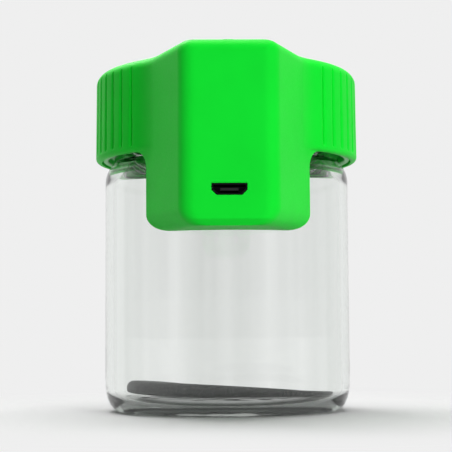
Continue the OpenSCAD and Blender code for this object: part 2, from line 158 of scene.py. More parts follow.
def turned(profile, closed=False, steps=ROUND_STEPS):
    """A mesh turned round the Z axis from (radius, height) pairs in millimetres."""
    bm = bmesh.new()
    verts = [bm.verts.new((r * MM, 0, z * MM)) for r, z in profile]
    pairs = list(zip(verts, verts[1:])) + ([(verts[-1], verts[0])] if closed else [])
    edges = [bm.edges.new(pair) for pair in pairs]
    bmesh.ops.spin(
        bm, geom=verts + edges, cent=(0, 0, 0), axis=(0, 0, 1), dvec=(0, 0, 0), angle=2 * math.pi,
        space=Matrix.Identity(4), steps=steps, use_merge=True, use_normal_flip=False, use_duplicate=False,
    )
    bmesh.ops.remove_doubles(bm, verts=bm.verts, dist=SAME_POINT)
    bmesh.ops.recalc_face_normals(bm, faces=bm.faces)
    return bm


def tube(low, high, outer, inner=0, edge=0.0, steps=ROUND_STEPS):
    """A disc or a ring between two heights, its edges rounded by edge, in millimetres."""
    if edge:
        profile = arc(outer - edge, low + edge, edge, -90, 0, 4)
        profile += arc(outer - edge, high - edge, edge, 0, 90, 4)
        if inner:
            profile += arc(inner + edge, high - edge, edge, 90, 180, 4)
            profile += arc(inner + edge, low + edge, edge, 180, 270, 4)
    else:
        profile = [(outer, low), (outer, high)] + ([(inner, high), (inner, low)] if inner else [])
    if not inner:
        profile = [(0, low)] + profile + [(0, high)]
    return turned(profile, bool(inner), steps)


def loop_edges(loop):
    """The edges that join a closed loop's points, in order."""
    pairs = zip(loop, loop[1:] + loop[:1])
    return [next(e for e in a.link_edges if e.other_vert(a) is b) for a, b in pairs]


def raise_loop(bm, loop, points, height):
    """Extrudes a closed loop to a new outline at a height, and returns the new loop."""
    made = bmesh.ops.extrude_edge_only(bm, edges=loop_edges(loop))["geom"]
    fresh = {v for v in made if isinstance(v, bmesh.types.BMVert)}
    raised = [next(e.other_vert(v) for e in v.link_edges if e.other_vert(v) in fresh) for v in loop]
    for v, (x, y) in zip(raised, points):
        v.co = (x * MM, y * MM, height * MM)
    return raised


def lofted(levels):
    """A closed mesh through outlines of as many points each, given as (height, points) in millimetres."""
    bm = bmesh.new()
    low, first = levels[0]
    loop = [bm.verts.new((x * MM, y * MM, low * MM)) for x, y in first]
    edges = [bm.edges.new(pair) for pair in zip(loop, loop[1:] + loop[:1])]
    bmesh.ops.contextual_create(bm, geom=edges)
    for height, points in levels[1:]:
        loop = raise_loop(bm, loop, points, height)
    bmesh.ops.contextual_create(bm, geom=loop_edges(loop))
    bmesh.ops.remove_doubles(bm, verts=bm.verts, dist=SAME_POINT)
    bmesh.ops.recalc_face_normals(bm, faces=bm.faces)
    return bm


def block(low, high, edge=0.0):
    """A box between two corners in millimetres, its edges bevelled by edge."""
    bm = bmesh.new()
    bmesh.ops.create_cube(bm, size=1)
    size = [(b - a) * MM for a, b in zip(low, high)]
    middle = [(a + b) / 2 * MM for a, b in zip(low, high)]
    bmesh.ops.scale(bm, vec=size, verts=bm.verts)
    bmesh.ops.translate(bm, vec=middle, verts=bm.verts)
    if edge:
        bmesh.ops.bevel(
            bm, geom=bm.edges[:], offset=edge * MM, offset_type="OFFSET", affect="EDGES", segments=3,
            profile=0.5, material=-1,
        )
    return bm


def joined(*parts):
    """One mesh from several, which are used up."""
    whole = parts[0]
    for part in parts[1:]:
        spare = bpy.data.meshes.new("spare")
        part.to_mesh(spare)
        part.free()
        whole.from_mesh(spare)
        bpy.data.meshes.remove(spare)
    return whole


def moved(bm, matrix):
    """The mesh, moved by a matrix."""
    bmesh.ops.transform(bm, matrix=matrix, verts=bm.verts)
    return bm


def at(x=0.0, y=0.0, z=0.0):
    """A move by millimetres."""
    return Matrix.Translation((x * MM, y * MM, z * MM))


def around(angle, axis="Z"):
    """A turn in degrees."""
    return Matrix.Rotation(math.radians(angle), 4, axis)


def carved(bm, cutters):
    """The mesh with the cutters taken out of it, one after another."""
    work = bpy.data.objects.new("work", bpy.data.meshes.new("work"))
    bm.to_mesh(work.data)
    bm.free()
    bpy.context.scene.collection.objects.link(work)
    for cutter in cutters:
        tool = bpy.data.objects.new("tool", bpy.data.meshes.new("tool"))
        cutter.to_mesh(tool.data)
        cutter.free()
        bpy.context.scene.collection.objects.link(tool)
        cut = work.modifiers.new("cut", "BOOLEAN")
        cut.operation, cut.solver, cut.object = "DIFFERENCE", "MANIFOLD", tool
        shape = bpy.data.meshes.new_from_object(work.evaluated_get(bpy.context.evaluated_depsgraph_get()))
        work.modifiers.clear()
        old, work.data = work.data, shape
        bpy.data.meshes.remove(old)
        bpy.data.meshes.remove(tool.data)
    out = bmesh.new()
    out.from_mesh(work.data)
    bpy.data.meshes.remove(work.data)
    return out


def piece(name, bm, body, node, material, corner=35, even=False):
    """A finished piece that stands for a CAD node: smooth between sharp edges, on its body."""
    for face in bm.faces:
        face.smooth = True
    for edge in bm.edges:
        edge.smooth = edge.calc_face_angle(0) < math.radians(corner)
    mesh = bpy.data.meshes.new(name)
    bm.to_mesh(mesh)
    bm.free()
    made = bpy.data.objects.new(name, mesh)
    bpy.context.scene.collection.objects.link(made)
    mesh.materials.append(material)
    if even:
        made.modifiers.new("flat faces stay flat", "WEIGHTED_NORMAL").keep_sharp = True
    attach(made, body)
    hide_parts(node)
    return made


# Material tools

# Most of a noise's values lie between these
NOISE_LOW, NOISE_HIGH = 0.3, 0.7


def toned(colour, factor, lift=0.0):
    """The colour, lighter or darker by a factor, and opaque."""
    return tuple(min(1, c * factor + lift) for c in colour[:3]) + (1,)


def add(tree, kind, inputs=None, **settings):
    """Adds a shader node with its settings, and fills its sockets with values, with other nodes' outputs,
    or with other nodes, which stand for their first output."""
    node = tree.nodes.new("ShaderNode" + kind)
    for key, value in settings.items():
        setattr(node, key, value)
    for socket, value in (inputs or {}).items():
        if isinstance(value, bpy.types.Node):
            value = value.outputs[0]
        if isinstance(value, bpy.types.NodeSocket):
            tree.links.new(value, node.inputs[socket])
        else:
            node.inputs[socket].default_value = value
    return node


def blank(name):
    """A new material, its tree, and the place on the piece in metres, which its patterns read."""
    material = bpy.data.materials.new(name)
    material.use_nodes = True
    tree = material.node_tree
    tree.nodes.clear()
    return material, tree, add(tree, "TexCoord").outputs["Object"]


def clouded(tree, place, width, detail, dark, bright=(1, 1, 1, 1), low=NOISE_LOW, high=NOISE_HIGH):
    """Soft clouds of two colours, about as wide as given, in metres."""
    cloud = add(tree, "TexNoise", {"Vector": place, "Scale": 1 / width, "Detail": detail})
    ramp = add(tree, "ValToRGB", {"Fac": cloud})
    first, last = ramp.color_ramp.elements
    first.position, last.position = low, high
    first.color, last.color = dark, bright
    return ramp


def grained(tree, place, width, detail, strength, relief):
    """A grain of that width and the relief that it raises, both in metres."""
    grain = add(tree, "TexNoise", {"Vector": place, "Scale": 1 / width, "Detail": detail})
    return grain, add(tree, "Bump", {"Height": grain, "Strength": strength, "Distance": relief})


def moulded_plastic(name, colour, roughness=0.5, grain=0.45, relief=0.012, gloss=0.5):
    """Moulded plastic: an even skin with its tool's fine pebble, and faint clouding. Grain and relief are in
    millimetres, the grain as coarse as it needs to show."""
    clouding, spread = 14 * MM, 0.05
    material, tree, here = blank(name)
    pebble, bump = grained(tree, here, grain * MM, 3, 0.35, relief * MM)
    cloud = clouded(tree, here, clouding, 2, toned(colour, 0.965), toned(colour, 1.035))
    rough = add(
        tree, "MapRange",
        {"Value": pebble, "From Min": NOISE_LOW, "From Max": NOISE_HIGH,
         "To Min": roughness - spread, "To Max": roughness + spread},
    )
    skin = add(
        tree, "BsdfPrincipled",
        {"Base Color": cloud, "Roughness": rough, "IOR": 1.53, "Specular IOR Level": gloss, "Normal": bump},
    )
    add(tree, "OutputMaterial", {"Surface": skin})
    return material


def clear_solid(name, ior, wave, relief, tint=None, density=0.0, foot=0.94, dull=0.98):
    """Clear glass or acrylic: sharp reflections, a faint waviness that bends them, a tint where it is thick,
    and soft upright bands of painted shade in its colour. Wave and relief are in millimetres. Foot is the
    light that the foot passes, and dull the light that the bands of painted shade pass."""
    band, upright, wall, foot_low, foot_high = 13 * MM, (1, 1, 0.03), 0.94, 3 * MM, 26 * MM
    material, tree, here = blank(name)
    _, bump = grained(tree, here, wave * MM, 1, 0.4, relief * MM)
    # Soft upright bands of painted shade in the colour, which darken what shows through like the dimmer room
    # seen through the wall
    drawn = add(tree, "VectorMath", {0: here, 1: upright}, operation="MULTIPLY")
    bands = clouded(tree, drawn, band, 2, (dull, dull * 1.006, dull, 1), low=0.42, high=0.58)
    body = add(
        tree, "BsdfPrincipled",
        {"Base Color": bands, "Roughness": 0.0, "IOR": ior, "Transmission Weight": 1.0, "Normal": bump},
    )
    path = add(tree, "LightPath")
    # The thick foot turns light aside, so its shadow is darker than the wall's
    parts = add(tree, "SeparateXYZ", {"Vector": here})
    passed = add(
        tree, "MapRange",
        {"Value": parts.outputs["Z"], "From Min": foot_low, "From Max": foot_high, "To Min": foot,
         "To Max": wall},
    )
    clear = add(tree, "BsdfTransparent", {"Color": passed})
    mix = add(tree, "MixShader", {0: path.outputs["Is Shadow Ray"], 1: body, 2: clear})
    out = {"Surface": mix}
    if density:
        out["Volume"] = add(tree, "VolumeAbsorption", {"Color": tint, "Density": density})
    add(tree, "OutputMaterial", out)
    return material


def cut_foam(name, colour, cell, relief=0.06):
    """Cut foam or soft silicone: matt, softly clouded, with small cells, and paler flecks where it is rubbed.
    Cell is in metres and relief in millimetres."""
    clouding, flecks = 6 * MM, 0.7 * MM
    material, tree, here = blank(name)
    cells = add(tree, "TexVoronoi", {"Vector": here, "Scale": 1 / cell})
    cloud = clouded(tree, here, clouding, 4, toned(colour, 0.9), toned(colour, 1.1))
    fleck = add(tree, "TexNoise", {"Vector": here, "Scale": 1 / flecks, "Detail": 2})
    worn = add(tree, "MapRange", {"Value": fleck, "From Min": 0.53, "From Max": NOISE_HIGH})
    rubbed = add(tree, "Mix", {0: worn, 6: cloud, 7: toned(colour, 1.2, 0.05)}, data_type="RGBA")
    bump = add(tree, "Bump", {"Height": cells, "Strength": 0.5, "Distance": relief * MM})
    body = add(
        tree, "BsdfPrincipled",
        {"Base Color": rubbed.outputs[2], "Roughness": 0.85, "Sheen Weight": 0.08, "Normal": bump},
    )
    add(tree, "OutputMaterial", {"Surface": body})
    return material


def solder_masked(name, mask, track):
    """FR-4 board under solder mask: a satin lacquer with slightly raised copper tracks."""
    length, row, gap = 2.6 * MM, 0.9 * MM, 0.6 * MM
    material, tree, here = blank(name)
    tracks = add(
        tree, "TexBrick",
        {"Vector": here, "Color1": track, "Color2": track, "Mortar": mask, "Scale": 1.0, "Mortar Size": gap,
         "Brick Width": length, "Row Height": row, "Mortar Smooth": 0.1},
    )
    bump = add(
        tree, "Bump", {"Height": tracks.outputs["Fac"], "Strength": 0.3, "Distance": 0.02 * MM},
        invert=True,
    )
    body = add(
        tree, "BsdfPrincipled", {"Base Color": tracks, "Roughness": 0.38, "Coat Weight": 0.3, "Normal": bump},
    )
    add(tree, "OutputMaterial", {"Surface": body})
    return material


def plated_metal(name, colour, roughness=0.25, grain=(2.0, 0.2, 0.2)):
    """Plated, drawn or laminated metal: bright, with fine lines along the way that it was worked. Grain is
    their length and spacing in millimetres along X, Y and Z."""
    material, tree, here = blank(name)
    drawn = add(tree, "Mapping", {"Vector": here, "Scale": tuple(1 / (g * MM) for g in grain)})
    lines, bump = grained(tree, drawn, 1, 3, 0.3, 0.01 * MM)
    rough = add(
        tree, "MapRange",
        {"Value": lines, "From Min": NOISE_LOW, "From Max": NOISE_HIGH,
         "To Min": roughness - 0.07, "To Max": roughness + 0.1},
    )
    body = add(
        tree, "BsdfPrincipled", {"Base Color": colour, "Metallic": 1.0, "Roughness": rough, "Normal": bump},
    )
    add(tree, "OutputMaterial", {"Surface": body})
    return material


def paired_leads(name, left, right):
    """PVC wire insulation, extruded: one lead of each colour, parted at X 0, glossy and slightly uneven."""
    material, tree, here = blank(name)
    _, bump = grained(tree, here, 1.2 * MM, 2, 0.2, 0.02 * MM)
    parts = add(tree, "SeparateXYZ", {"Vector": here})
    share = add(tree, "MapRange", {"Value": parts.outputs["X"], "From Min": -MM, "From Max": MM})
    ramp = add(tree, "ValToRGB", {"Fac": share})
    ramp.color_ramp.interpolation = "CONSTANT"
    first, last = ramp.color_ramp.elements
    first.color, last.color, last.position = left, right, 0.5
    body = add(tree, "BsdfPrincipled", {"Base Color": ramp, "Roughness": 0.35, "Normal": bump})
    add(tree, "OutputMaterial", {"Surface": body})
    return material


# Sizes, in millimetres and degrees, most of them the frame's own

# The glass: its wall, heel, shoulder, neck and lip
JAR_R, NECK_R, BORE_R, MOUTH_R = 32.5, 30.1, 30.3, 27.9
JAR_H, NECK_Z, LIP = 80, 65.8, 0.8
CONTACT_R, HEEL_H = 28, 10
SHOULDER_R, SHOULDER_Z, SHOULDER_TURN, SHOULDER_DROP = 7.254, 60.41, 48, 1.1
# Its foot: the floor and its corner, the hollow under it, and the waves in both
FLOOR_Z, FLOOR_CORNER, FOOT_MIDDLE, FOOT_TOP = 1.9, 4.5, 1.2, 2.2
PUNT_FLAT, PUNT_SLOPE = 17, 9.5
WAVE, WAVE_R, WAVE_FADE = 0.08, 25.5, 5
# The screw threads on the neck and in the cap: height and half the width
THREAD_LOW, THREAD_HALF, CAP_THREAD, CAP_THREAD_HALF = 69.2, 1.25, 0.95, 1.0

# The mat: its disc, how much its raised side sags and where, and how it lies
MAT_R, MAT_HALF, MAT_EDGE = 27.5, 1.25, 1.9
SAG, SAG_X, SAG_REACH = 1.04, -15, 30
MAT_PLACE, MAT_TILT, MAT_ROLL = (0.625, 0, 4.018), 3.2, -2.4

# The screw cap with its seal and its window
CAP_BORE, CAP_R, CAP_HOLE = 31.7, 33.2, 28.05
SKIRT_Z, CEILING_Z, CAP_Z = 66.4, 81.6, 83.1
SEAL_R, SEAL_HOLE, SEAL_GAP = 31.3, 28.2, 0.1
WINDOW_R, WINDOW_H = 29.3, 1.5

# The lid: its grooved ring and the pod that hangs from it
LID_R, RIM_Z, ROOF_Z, TOP_Z = 35.0, 66.0, 87.6, 89.6
POD_Z, FRONT_D, SIDE_D, SPLAY, BACK_R = 45.5, 50.0, 29.37, 22.6, 34.2
CORNER, BLEND, WALL, DRAFT = 4.5, 15.0, 2.0, 0.4
# Its rounded edges: the rim's, the top's, the fillet under the rim, and the pod's at the sides and behind
RIM_EDGE, TOP_EDGE, FILLET, POD_EDGE, POD_BACK_EDGE = 1.2, 3, 4.5, 4.4, 1.0
# The slope at the front's lower edge, and how soft the crease above it is
NOSE, CREASE = 1.5, 0.012
# The grooves: degrees between them, half the slit's width, and the reach of the ribs' rounding beside it
GROOVE_STEP, SLIT, ROUNDING = 6.55, 0.38, 1.15
# The slit's share of their depth, and where they fade in and out
SLIT_SHARE, GROOVE_LOW, LOW_FADE, GROOVE_HIGH, HIGH_FADE = 0.4, 67.2, 0.9, 87.0, 1.2
# The space inside the pod keeps the frame's own sides, which hold the cover
SPACE_D, SPACE_SPLAY, SPACE_CORNER = 28.371, 25.5, 1.6
SPACE_Z, LEDGE_Z, SPACE_BACK, COVER_R = 47.5, 49.1, 33.0, 35.7

# Inside it: the room for the cap, and the gate for the leads from the pod
CAP_ROOM, GATE_LOW, GATE_HIGH = 33.4, (-8, -36, 84.4), (8, -32.4, ROOF_Z)
# Posts that hold the cap, and pegs that hold the light board
POST_R, POST_RING, PEG_R, PEG_RING, PEG_Z = 1.7, 31.5, 0.85, 26.9, 86.6
# Ribs before the battery that carry the switch's board
RIB_X, RIB_HALF, RIB_LOW, RIB_HIGH, RIB_FRONT, RIB_BACK = 6, 0.6, 56.225, 78.8, -49, -42.6
# Screw bosses: upright ones under the charge board, and stubs that face the cover
BOSS_R, SCREW_R, BOSS_X, BOSS_Y, BOSS_LOW, BOSS_FLOOR, BOSS_Z = 2, 0.95, 7.5, -39.1, 47.4, 48.5, 55.2
STUB_TURN, STUB_PLACE, STUB_H, STUB_HOLE = 15, (0, -35.9, 51.7), 5, 4

# The magnifier: the lens's opening, its seat, the well round it and where that roots in the roof
LENS_R, SEAT_R, WELL_R = 20.3, 22, 24
WELL_Z, SEAT_Z, ROOT_Z = 85.6, 86.8, 88.6
DOME_Z, DOME_R, DOME_LOW = 91.9, 70.18, 88.9
BEZEL_R, BEZEL_HOLE, BEZEL_Z, BEZEL_EDGE, BEZEL_LIP = 24.4, 20.4, 90.4, 0.6, 0.3
SEAT_GAP = 0.1

# The button: its cap, flange and stem
BUTTON_Y, BUTTON_R, BUTTON_Z, BUTTON_EDGE, BUTTON_HOLE = 42.6, 4.4, 89.85, 0.5, 4.6
FLANGE_R, FLANGE_LOW, FLANGE_Z, STEM_R, STEM_Z = 5.2, 86.8, 87.5, 1.5, 84.525

# The charging socket's mouth: half its width and height, and its slanted lower corners
USB_Z, USB_W, USB_H, USB_SLANT = 53.9, 4.2, 1.425, 1.2


def smooth_step(t):
    """0 to 1 with a soft start and end."""
    t = min(1, max(0, t))
    return t * t * (3 - 2 * t)


def thread_rise(co, low, turns, pitch, height, width):
    """How far a right-handed thread stands off its cylinder at a point, in millimetres."""
    turn = math.atan2(co.y, co.x) / (2 * math.pi) % 1
    rise = 0.0
    while turn < turns:
        off = abs(co.z / MM - low - pitch * turn) / width
        if off < 1:
            fade = smooth_step(min(turn, turns - turn) / 0.1)
            rise = max(rise, height * fade * (0.5 + 0.5 * math.cos(math.pi * off)) ** 0.7)
        turn += 1
    return rise


def threaded(bm, radius, low, turns, pitch, height, width):
    """Draws a thread out of the cylinder of that radius, outwards, or inwards with a negative height."""
    for v in bm.verts:
        r = math.hypot(v.co.x, v.co.y)
        if abs(r / MM - radius) < 0.02 and low - width < v.co.z / MM < low + turns * pitch + width:
            rise = thread_rise(v.co, low, turns, pitch, abs(height), width)
            scale = (r + math.copysign(rise, height) * MM) / r
            v.co.x *= scale
            v.co.y *= scale
    return bm


def flow(x, y):
    """Waves, -1 to 1, that the gob's flow leaves in pressed glass."""
    return math.sin(0.71 * x + 1.3 * math.sin(0.33 * y)) * math.cos(0.52 * y - 0.9 * math.sin(0.27 * x))


class BUGJAR_OT_glass(bpy.types.Operator):
    """Blown glass jar with a heel, a drawn-in neck and its screw thread"""

    bl_idname = "bugjar.glass"
    bl_label = "Glass Jar"

    def execute(self, context):
        s = context.scene.bug_glass
        foot = [(r, s.punt / MM * (1 - smooth_step((r - PUNT_FLAT) / PUNT_SLOPE))) for r in range(CONTACT_R)]
        # The heel's points stand close together near the table, where it curves most
        rise = [(i / 18) ** 2.2 for i in range(19)]
        heel = [(CONTACT_R + (JAR_R - CONTACT_R) * (1 - (1 - t) ** 3) ** 0.48, HEEL_H * t) for t in rise]
        shoulder = arc(JAR_R - SHOULDER_R, SHOULDER_Z, SHOULDER_R, 0, SHOULDER_TURN, 16)
        # Rows of 0.2 mm, from which the thread is drawn out
        neck = [(NECK_R, NECK_Z + 0.2 * i) for i in range(1, 67)]
        lip = arc(NECK_R - LIP, JAR_H - LIP, LIP, 0, 90, 8)
        lip += arc(MOUTH_R + LIP, JAR_H - LIP, LIP, 90, 180, 8)
        inside = arc(BORE_R - SHOULDER_R, SHOULDER_Z - SHOULDER_DROP, SHOULDER_R, SHOULDER_TURN, 0, 16)
        floor = arc(BORE_R - FLOOR_CORNER, FLOOR_Z + FLOOR_CORNER, FLOOR_CORNER, 0, -90, 16)
        floor += [(r, FLOOR_Z) for r in range(25, -1, -1)]
        bm = turned(foot + heel + shoulder + neck + lip + inside + floor)
        # Both sides of the foot are slightly wavy, against each other, so that it bends what shows through it
        for v in bm.verts:
            x, y = v.co.x / MM, v.co.y / MM
            inwards = WAVE_R - math.hypot(x, y)
            if v.co.z < FOOT_TOP * MM and inwards > 0:
                wave = math.copysign(WAVE, v.co.z - FOOT_MIDDLE * MM) * flow(x, y)
                v.co.z += wave * smooth_step(inwards / WAVE_FADE) * MM
        threaded(bm, NECK_R, THREAD_LOW, s.turns, s.pitch / MM, s.thread / MM, THREAD_HALF)
        # Soda-lime glass, blown and fire-polished: bright edges, slow ripples, grey-green where it is thick,
        # and upright bands of painted shade
        glass = clear_solid("soda_lime_glass_blown", 1.52, 14, 0.03, s.tint, s.density, foot=0.12, dull=0.91)
        piece("jar_glass", bm, "jar", "glass_jar", glass)
        return {"FINISHED"}


class BUGJAR_OT_mat(bpy.types.Operator):
    """Soft disc that lies tilted on the jar's floor"""

    bl_idname = "bugjar.mat"
    bl_label = "Soft Mat"

    def execute(self, context):
        s = context.scene.bug_mat
        rim = arc(0, 0, MAT_EDGE, -90, 90, 14)
        rim = [(MAT_R - MAT_EDGE + x, MAT_HALF + z * MAT_HALF / MAT_EDGE) for x, z in rim]
        bm = turned([(0, 0)] + rim + [(0, 2 * MAT_HALF)])
        # The raised side sags under its own weight
        for v in bm.verts:
            below = MAT_HALF * MM - v.co.z
            if below > 0:
                v.co.z -= SAG * below * smooth_step(1 - abs(v.co.x / MM - SAG_X) / SAG_REACH)
        moved(bm, at(*MAT_PLACE) @ around(MAT_TILT, "Y") @ around(MAT_ROLL, "X"))
        # EVA foam, die-cut from sheet: dark, matt and fine-celled
        foam = cut_foam("eva_foam_die_cut", s.colour, s.cell)
        piece("soft_mat", bm, "mat", "floor_mat", foam)
        return {"FINISHED"}


class BUGJAR_OT_cap(bpy.types.Operator):
    """Screw cap with its inner thread, its seal and its clear window"""

    bl_idname = "bugjar.cap"
    bl_label = "Screw Cap"

    def execute(self, context):
        s, g = context.scene.bug_lid, context.scene.bug_glass
        hem, shoulder, edge = 0.5, 0.4, 0.3
        profile = arc(CAP_BORE + hem, SKIRT_Z + hem, hem, 180, 270, 4)
        profile += arc(CAP_R - hem, SKIRT_Z + hem, hem, -90, 0, 4)
        profile += arc(CAP_R - shoulder, CAP_Z - shoulder, shoulder, 0, 90, 4)
        profile += arc(CAP_HOLE + edge, CAP_Z - edge, edge, 90, 180, 4)
        profile += arc(CAP_HOLE + edge, CEILING_Z + edge, edge, 180, 270, 4)
        profile += [(CAP_BORE, CEILING_Z - 0.2 * i) for i in range(74)]
        bm = turned(profile, closed=True)
        low = THREAD_LOW - g.pitch / MM / 2
        threaded(bm, CAP_BORE, low, g.turns + 0.2, g.pitch / MM, -CAP_THREAD, CAP_THREAD_HALF)
        # Polypropylene, injection moulded: smooth and a little waxy
        waxy = moulded_plastic("polypropylene_moulded", s.cap_colour, 0.38, 0.8, 0.01)
        piece("cap_with_thread", bm, "lid", "screw_cap", waxy)
        # Silicone, pressed: a dull pale green ring
        dull = cut_foam("silicone_pressed", paint("#7CC488"), 0.3 * MM, 0.01)
        seal = tube(JAR_H + SEAL_GAP, CEILING_Z - SEAL_GAP, SEAL_R, SEAL_HOLE, 0.3)
        piece("lip_seal", seal, "seal", "seal_ring", dull)
        # Acrylic, laser-cut: clear, with polished edges
        clear = clear_solid("acrylic_cut", 1.49, 20, 0.01)
        window = tube(CAP_Z, CAP_Z + WINDOW_H, WINDOW_R, 0, 0.2)
        piece("inner_window", window, "lid", "view_window", clear)
        return {"FINISHED"}


def blend_angle(ring, side, blend):
    """Angle at which the ring's outline leaves for the pod's side."""
    return SPLAY + math.degrees(math.acos((side + blend) / (ring + blend)))


def ring_angles(count):
    """Angles of the ring's points on one side, from the pod to the back, close together at each groove."""
    near = [0.1, 0.2, 0.3, SLIT, 0.5, 0.68, 0.88, ROUNDING]
    across = [-x for x in reversed(near)] + [0] + near
    rib = [1.4, 1.7, 2.0, 2.3, 2.6]
    out = []
    for k in range(count):
        middle = ((count - 1) / 2 - k) * GROOVE_STEP
        out += [middle - math.degrees(x / LID_R) for x in across + (rib if k < count - 1 else [])]
    first, last = out[0], out[-1]
    edge = blend_angle(LID_R, SIDE_D, BLEND)
    lead = [first + (edge - first) * i / 5 for i in (4, 3, 2, 1)]
    return lead + out + [last - (last + 90) * i / 22.5 for i in range(1, 23)]


def polar(r, a):
    """Point at a radius and an angle in degrees."""
    return (r * math.cos(math.radians(a)), r * math.sin(math.radians(a)))


def corner_middle(side, front, r, splay=SPLAY):
    """Centre of the pod's front corner."""
    lean = math.radians(splay)
    return (side - r - math.sin(lean) * (front - r)) / math.cos(lean), front - r


def on_side(side, along, splay=SPLAY):
    """Point on the pod's splayed side face."""
    lean = math.radians(splay)
    return (side * math.cos(lean) - along * math.sin(lean), side * math.sin(lean) + along * math.cos(lean))


CORNER_STEPS, BLEND_STEPS = 10, 16


def front_corner(side, front, r, splay=SPLAY):
    """The front corner's points, after one on the flat front beside it."""
    beside = 0.6
    x, y = corner_middle(side, front, r, splay)
    return [(x - beside, front)] + arc(x, y, r, 90, splay, CORNER_STEPS)


def ring_half(ring, side, front, corner, blend, angles, groove=None):
    """Half outline of the ring and its pod, from the front round to the back."""
    a = blend_angle(ring, side, blend)
    cx, cy = polar(ring + blend, a)
    neck = arc(cx, cy, blend, SPLAY + 180, a + 180, BLEND_STEPS)
    round_back = [polar(min(ring, groove(phi)) if groove else ring, phi) for phi in angles]
    return front_corner(side, front, corner) + neck + round_back


def pod_half(side, front, corner, back, angles, splay=SPLAY):
    """Half outline of the pod below the rim, from the front round to the middle of its back."""
    flat = 3
    outer = ring_half(LID_R, SIDE_D, FRONT_D, CORNER, BLEND, angles)
    lean = math.radians(splay)
    x, y = outer[CORNER_STEPS + 2]
    reach = math.sqrt(back * back - side * side)
    leave = max(-math.sin(lean) * x + math.cos(lean) * y, reach + flat)
    edge = on_side(side, reach, splay)
    a = math.degrees(math.atan2(edge[1], edge[0]))
    n = len(angles)
    return (
        front_corner(side, front, corner, splay)
        + [on_side(side, leave + (reach - leave) * i / BLEND_STEPS, splay) for i in range(BLEND_STEPS + 1)]
        + [polar(back, a + i * (90 - a) / (n + 0.5)) for i in range(1, n + 1)]
    )


def whole(half):
    """Both halves of an outline, with its front turned to -Y."""
    return [(x, -y) for x, y in half] + [(-x, -y) for x, y in reversed(half)]


def between(a, b, shares):
    """Points a share of the way from one outline to another."""
    return [(p[0] + (q[0] - p[0]) * s, p[1] + (q[1] - p[1]) * s) for p, q, s in zip(a, b, shares)]


def rounded(h, r):
    """How far a rounded edge of radius r stands back at height h above its lowest line."""
    return r - math.sqrt(max(0, r * r - (r - h) * (r - h))) if h < r else 0


def shell_levels(count, depth):
    """Outlines of the lid's moulding from the pod's underside to its top: the pod's rounded foot, the hollow
    fillet under the rim, the rim's rounded lower edge, the grooved ring and the rounded top edge."""
    angles = ring_angles(count)
    n = len(angles)
    front = CORNER_STEPS + 2
    ring_shares = [0] * front + [i / BLEND_STEPS for i in range(BLEND_STEPS + 1)] + [1] * n
    web_shares = [0] * front + [1] * (BLEND_STEPS + 1) + [0] * n
    draft = math.tan(math.radians(DRAFT))
    middle = (count - 1) / 2

    def ring_at(z):
        return LID_R - (z - RIM_Z) * draft

    def groove_at(z):
        fade = smooth_step((z - GROOVE_LOW) / LOW_FADE) * (1 - smooth_step((z - GROOVE_HIGH) / HIGH_FADE))

        def cut(phi):
            k = min(max(round(phi / GROOVE_STEP), -middle), middle)
            off = abs(math.radians(phi - k * GROOVE_STEP)) * LID_R
            # A rib's edges are rounded down to a narrow slit
            edge = max(0, 1 - off / ROUNDING) ** 2 * (1 - SLIT_SHARE)
            slit = (1 + math.cos(math.pi * min(1, off / SLIT))) / 2 * SLIT_SHARE
            return LID_R - depth * (edge + slit) * fade

        return cut

    def ring_inset(z, t):
        return ring_half(ring_at(z) - t, SIDE_D - t, FRONT_D - t, CORNER - t, BLEND + t, angles, groove_at(z))

    def rim_level(z, t):
        outer = ring_inset(z, 0)
        inner = ring_half(ring_at(z) - t, SIDE_D, FRONT_D, CORNER, BLEND, angles)
        return between(outer, inner, ring_shares)

    levels = []
    for h in (0, 0.05, 0.15, 0.3, 0.5, 0.75, 1.0, 1.2, 1.35, 1.45, 1.55, 1.7, 2.0, 2.5, 3.1, 3.7, POD_EDGE):
        # The front's lower edge is a slope with a softened crease above it, and the sides are well rounded
        slope = NOSE - h
        nose = (slope + math.sqrt(slope * slope + CREASE)) / 2
        side, back = SIDE_D - rounded(h, POD_EDGE), BACK_R + rounded(h, POD_BACK_EDGE)
        levels.append((POD_Z + h, pod_half(side, FRONT_D - nose, CORNER - nose, back, angles)))
    foot = rim_level(RIM_Z, RIM_EDGE)
    pod = pod_half(SIDE_D, FRONT_D, CORNER, BACK_R, angles)
    for i in range(10):
        a = math.radians(10 * i)
        z = RIM_Z - FILLET * (1 - math.sin(a))
        levels.append((z, between(pod, foot, [w * (1 - math.cos(a)) for w in web_shares])))
    for i in range(7):
        a = math.radians(15 * i)
        z = RIM_Z + RIM_EDGE * (1 - math.cos(a))
        levels.append((z, rim_level(RIM_Z, RIM_EDGE * (1 - math.sin(a)))))
    # Levels stand close together where the grooves fade in
    for z in (67.35, 67.5, 67.65, 67.8, 67.95, 68.1, 68.6, 70, 74, 78, 82, 85.6):
        levels.append((z, ring_inset(z, 0)))
    for i in range(13):
        a = math.radians(7.5 * i)
        z = TOP_Z - TOP_EDGE * (1 - math.sin(a))
        levels.append((z, ring_inset(z, TOP_EDGE * (1 - math.cos(a)))))
    return [(z, whole(half)) for z, half in levels]


def hollow_levels():
    """Outlines of the space inside the pod: a ledge behind, open to the cover, then up beside the ring."""
    angles = [40 - 8 * i for i in range(16)]
    steps = (
        (SPACE_Z, COVER_R), (LEDGE_Z, COVER_R), (LEDGE_Z, SPACE_BACK),
        (RIM_Z, SPACE_BACK), (RIM_Z, LID_R), (ROOF_Z, LID_R),
    )
    halves = [(z, pod_half(SPACE_D, FRONT_D - WALL, SPACE_CORNER, r, angles, SPACE_SPLAY)) for z, r in steps]
    return [(z, whole(half)) for z, half in halves]


